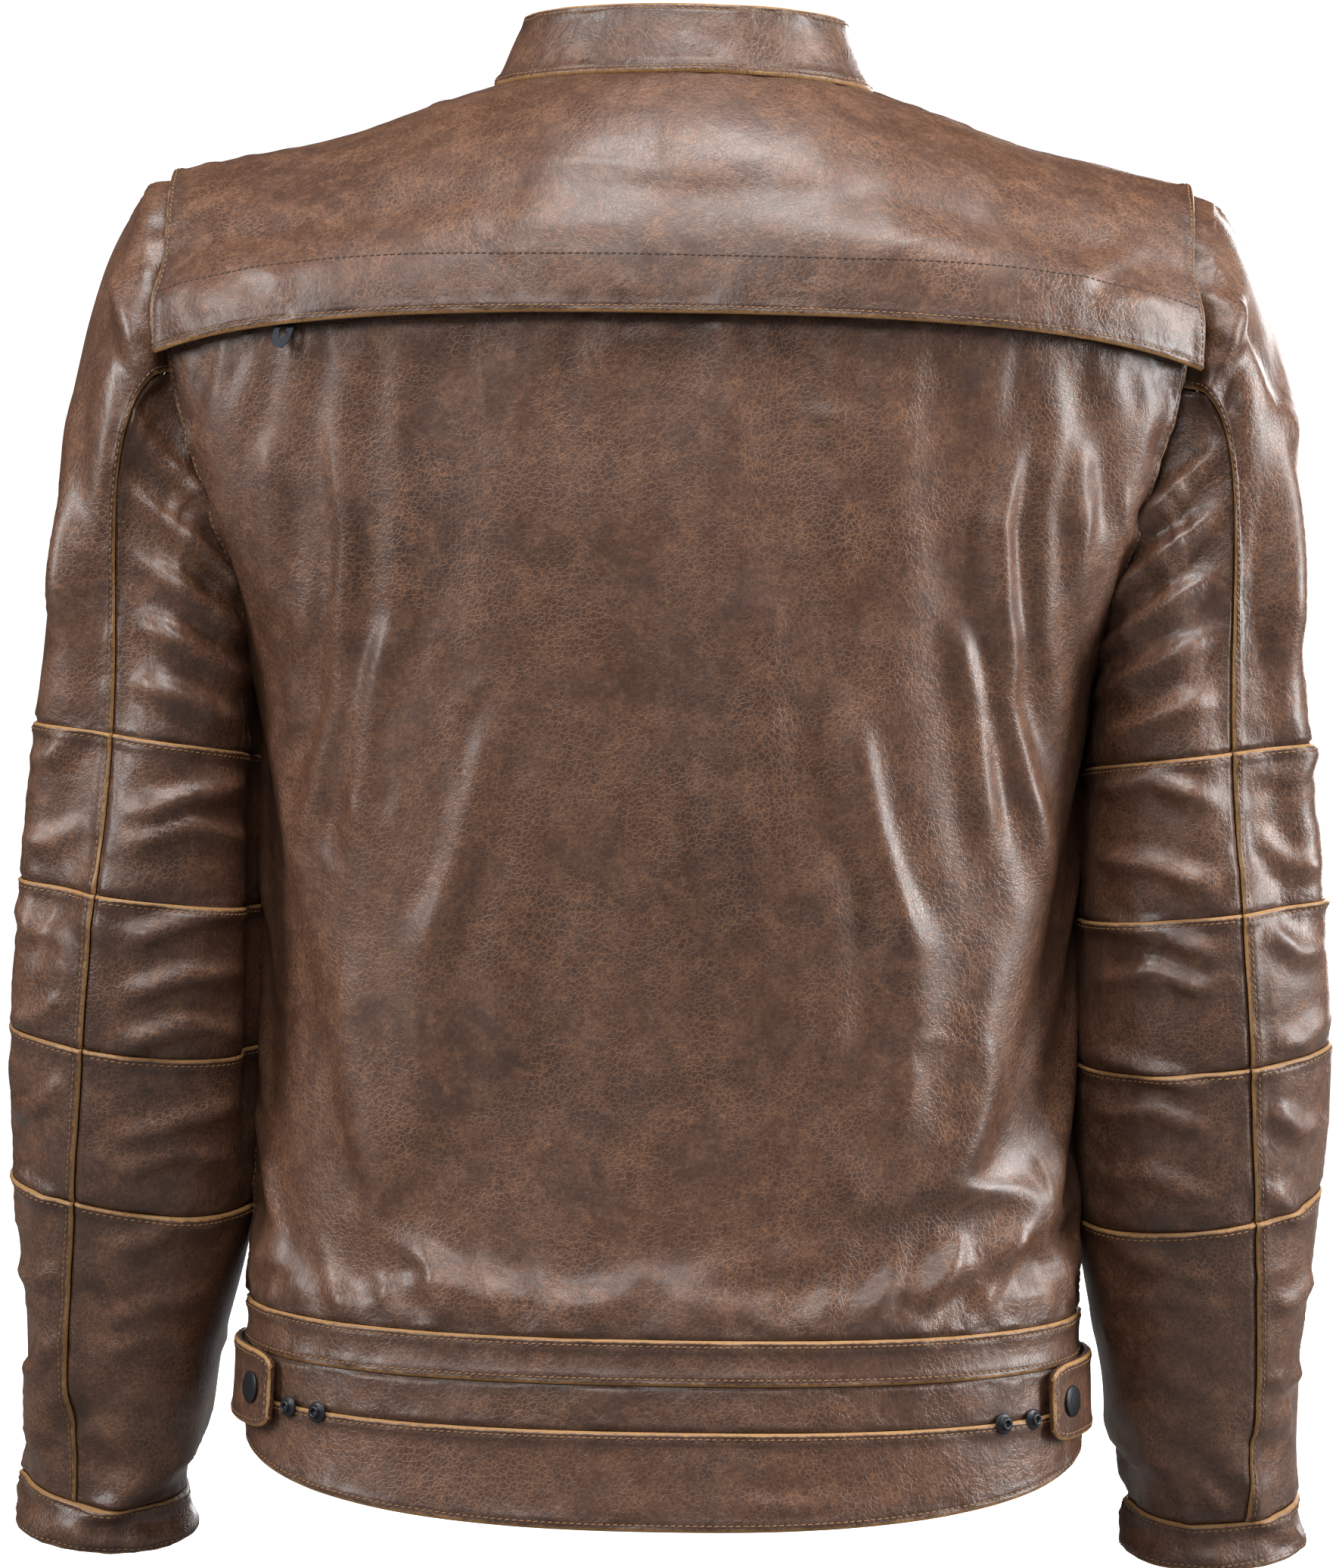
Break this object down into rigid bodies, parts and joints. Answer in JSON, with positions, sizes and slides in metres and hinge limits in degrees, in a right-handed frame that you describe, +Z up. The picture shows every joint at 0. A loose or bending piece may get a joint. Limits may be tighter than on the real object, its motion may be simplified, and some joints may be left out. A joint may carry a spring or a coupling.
{
  "type": "leather riding jacket",
  "caption": "Zip-front leather riding jacket with a stand collar, vented back yoke, banded elbows, snap waist tabs and slanted zip pockets.",
  "frame": {"origin": "middle of the hang loop's bearing face, inside the back of the collar", "axes": "+X to the wearer's right, +Y to the wearer's front, +Z up along the centre back"},
  "size_m": [0.6294, 0.2594, 0.7354],
  "materials": {
    "leather": "glossy waxed pull-up leather, mottled brown with worn tan edges",
    "lining": "matte woven lining",
    "zip": "dark metal chain and pulls",
    "snap": "blackened metal",
    "armour": "soft foam pad"
  },
  "bodies": {
    "torso": {"back_yoke": "leather", "back_panel": "leather", "waistband_upper": "leather", "waistband_lower": "leather", "hem_panel": "leather", "collar_outer": "leather", "collar_lining": "lining", "hang_loop": "lining", "body_lining": "lining", "main_zip_left": "zip", "main_zip_right": "zip", "vent_zip": "zip", "front_panel_left": "leather", "front_waist_left": "leather", "stud_row_left": "snap", "pocket_zip_left": "zip", "front_panel_right": "leather", "front_waist_right": "leather", "stud_row_right": "snap", "pocket_zip_right": "zip"},
    "sleeve_left": {"sleeve_upper_outer_left": "leather", "sleeve_upper_under_left": "leather", "elbow_outer_1_left": "leather", "elbow_under_1_left": "leather", "sleeve_lining_left": "lining"},
    "forearm_left": {"elbow_outer_2_left": "leather", "elbow_outer_3_left": "leather", "elbow_under_2_left": "leather", "elbow_under_3_left": "leather", "forearm_outer_left": "leather", "forearm_under_left": "leather", "cuff_left": "leather", "elbow_armour_left": "armour"},
    "waist_tab_left": {"waist_tab_left": "leather", "tab_snap_left": "snap"},
    "pocket_slider_left": {"pocket_slider_left": "zip"},
    "pocket_pull_left": {"pocket_pull_left": "zip"},
    "sleeve_right": {"sleeve_upper_outer_right": "leather", "sleeve_upper_under_right": "leather", "elbow_outer_1_right": "leather", "elbow_under_1_right": "leather", "sleeve_lining_right": "lining"},
    "forearm_right": {"elbow_outer_2_right": "leather", "elbow_outer_3_right": "leather", "elbow_under_2_right": "leather", "elbow_under_3_right": "leather", "forearm_outer_right": "leather", "forearm_under_right": "leather", "cuff_right": "leather", "elbow_armour_right": "armour"},
    "waist_tab_right": {"waist_tab_right": "leather", "tab_snap_right": "snap"},
    "pocket_slider_right": {"pocket_slider_right": "zip"},
    "pocket_pull_right": {"pocket_pull_right": "zip"},
    "main_zip_slider": {"main_zip_slider": "zip"},
    "main_zip_pull": {"main_zip_pull": "zip"},
    "vent_zip_slider": {"vent_zip_slider": "zip"},
    "vent_zip_pull": {"vent_zip_pull": "zip"},
    "collar_tab": {"collar_tab": "leather", "collar_snap": "snap"}
  },
  "joints": [
    {"name": "shoulder_left", "type": "hinge", "parent": "torso", "child": "sleeve_left", "pos_m": [-0.215, 0.062, -0.262], "axis": [0, 1, 0], "range_deg": [0, 35], "deforming": ["sleeve_upper_outer_left", "sleeve_upper_under_left", "sleeve_lining_left"]},
    {"name": "elbow_left", "type": "hinge", "parent": "sleeve_left", "child": "forearm_left", "pos_m": [-0.258, 0.0615, -0.448], "axis": [1, 0, 0], "range_deg": [0, 70], "deforming": ["elbow_outer_2_left", "elbow_outer_3_left", "elbow_under_2_left", "elbow_under_3_left", "sleeve_lining_left"]},
    {"name": "waist_tab_left_swing", "type": "hinge", "parent": "torso", "child": "waist_tab_left", "pos_m": [-0.2007, 0.0822, -0.607], "axis": [0, 0, -1], "range_deg": [0, 42]},
    {"name": "pocket_zip_left_slide", "type": "slide", "parent": "torso", "child": "pocket_slider_left", "axis": [-0.3006, -0.0081, -0.9537], "range_m": [0, 0.105]},
    {"name": "pocket_pull_left_swing", "type": "hinge", "parent": "pocket_slider_left", "child": "pocket_pull_left", "pos_m": [-0.08811, 0.16062, -0.42136], "axis": [0.9179, 0.2691, -0.2916], "range_deg": [0, 100]},
    {"name": "shoulder_right", "type": "hinge", "parent": "torso", "child": "sleeve_right", "pos_m": [0.215, 0.062, -0.262], "axis": [0, -1, 0], "range_deg": [0, 35], "deforming": ["sleeve_upper_outer_right", "sleeve_upper_under_right", "sleeve_lining_right"]},
    {"name": "elbow_right", "type": "hinge", "parent": "sleeve_right", "child": "forearm_right", "pos_m": [0.258, 0.0615, -0.448], "axis": [1, 0, 0], "range_deg": [0, 70], "deforming": ["elbow_outer_2_right", "elbow_outer_3_right", "elbow_under_2_right", "elbow_under_3_right", "sleeve_lining_right"]},
    {"name": "waist_tab_right_swing", "type": "hinge", "parent": "torso", "child": "waist_tab_right", "pos_m": [0.2007, 0.0822, -0.607], "axis": [0, 0, 1], "range_deg": [0, 42]},
    {"name": "pocket_zip_right_slide", "type": "slide", "parent": "torso", "child": "pocket_slider_right", "axis": [0.3006, -0.0081, -0.9537], "range_m": [0, 0.105]},
    {"name": "pocket_pull_right_swing", "type": "hinge", "parent": "pocket_slider_right", "child": "pocket_pull_right", "pos_m": [0.08811, 0.16062, -0.42136], "axis": [0.9179, -0.2691, 0.2916], "range_deg": [0, 100]},
    {"name": "main_zip_slide", "type": "slide", "parent": "torso", "child": "main_zip_slider", "axis": [0, 0.0807, -0.9967], "range_m": [0, 0.52]},
    {"name": "main_pull_swing", "type": "hinge", "parent": "main_zip_slider", "child": "main_zip_pull", "pos_m": [0, 0.14101, -0.09672], "axis": [1, 0, 0], "range_deg": [0, 100]},
    {"name": "vent_zip_sweep", "type": "hinge", "parent": "torso", "child": "vent_zip_slider", "pos_m": [0, 0.52949, -0.32207], "axis": [0, 0.3557, 0.9346], "range_deg": [0, 31.66]},
    {"name": "vent_pull_swing", "type": "hinge", "parent": "vent_zip_slider", "child": "vent_zip_pull", "pos_m": [-0.17466, -0.04645, -0.10364], "axis": [-0.255, -0.9669, -0.0126], "range_deg": [0, 25]},
    {"name": "collar_tab_swing", "type": "hinge", "parent": "torso", "child": "collar_tab", "pos_m": [0.02582, 0.12963, -0.0564], "axis": [0, 0, -1], "range_deg": [0, 80]}
  ]
}
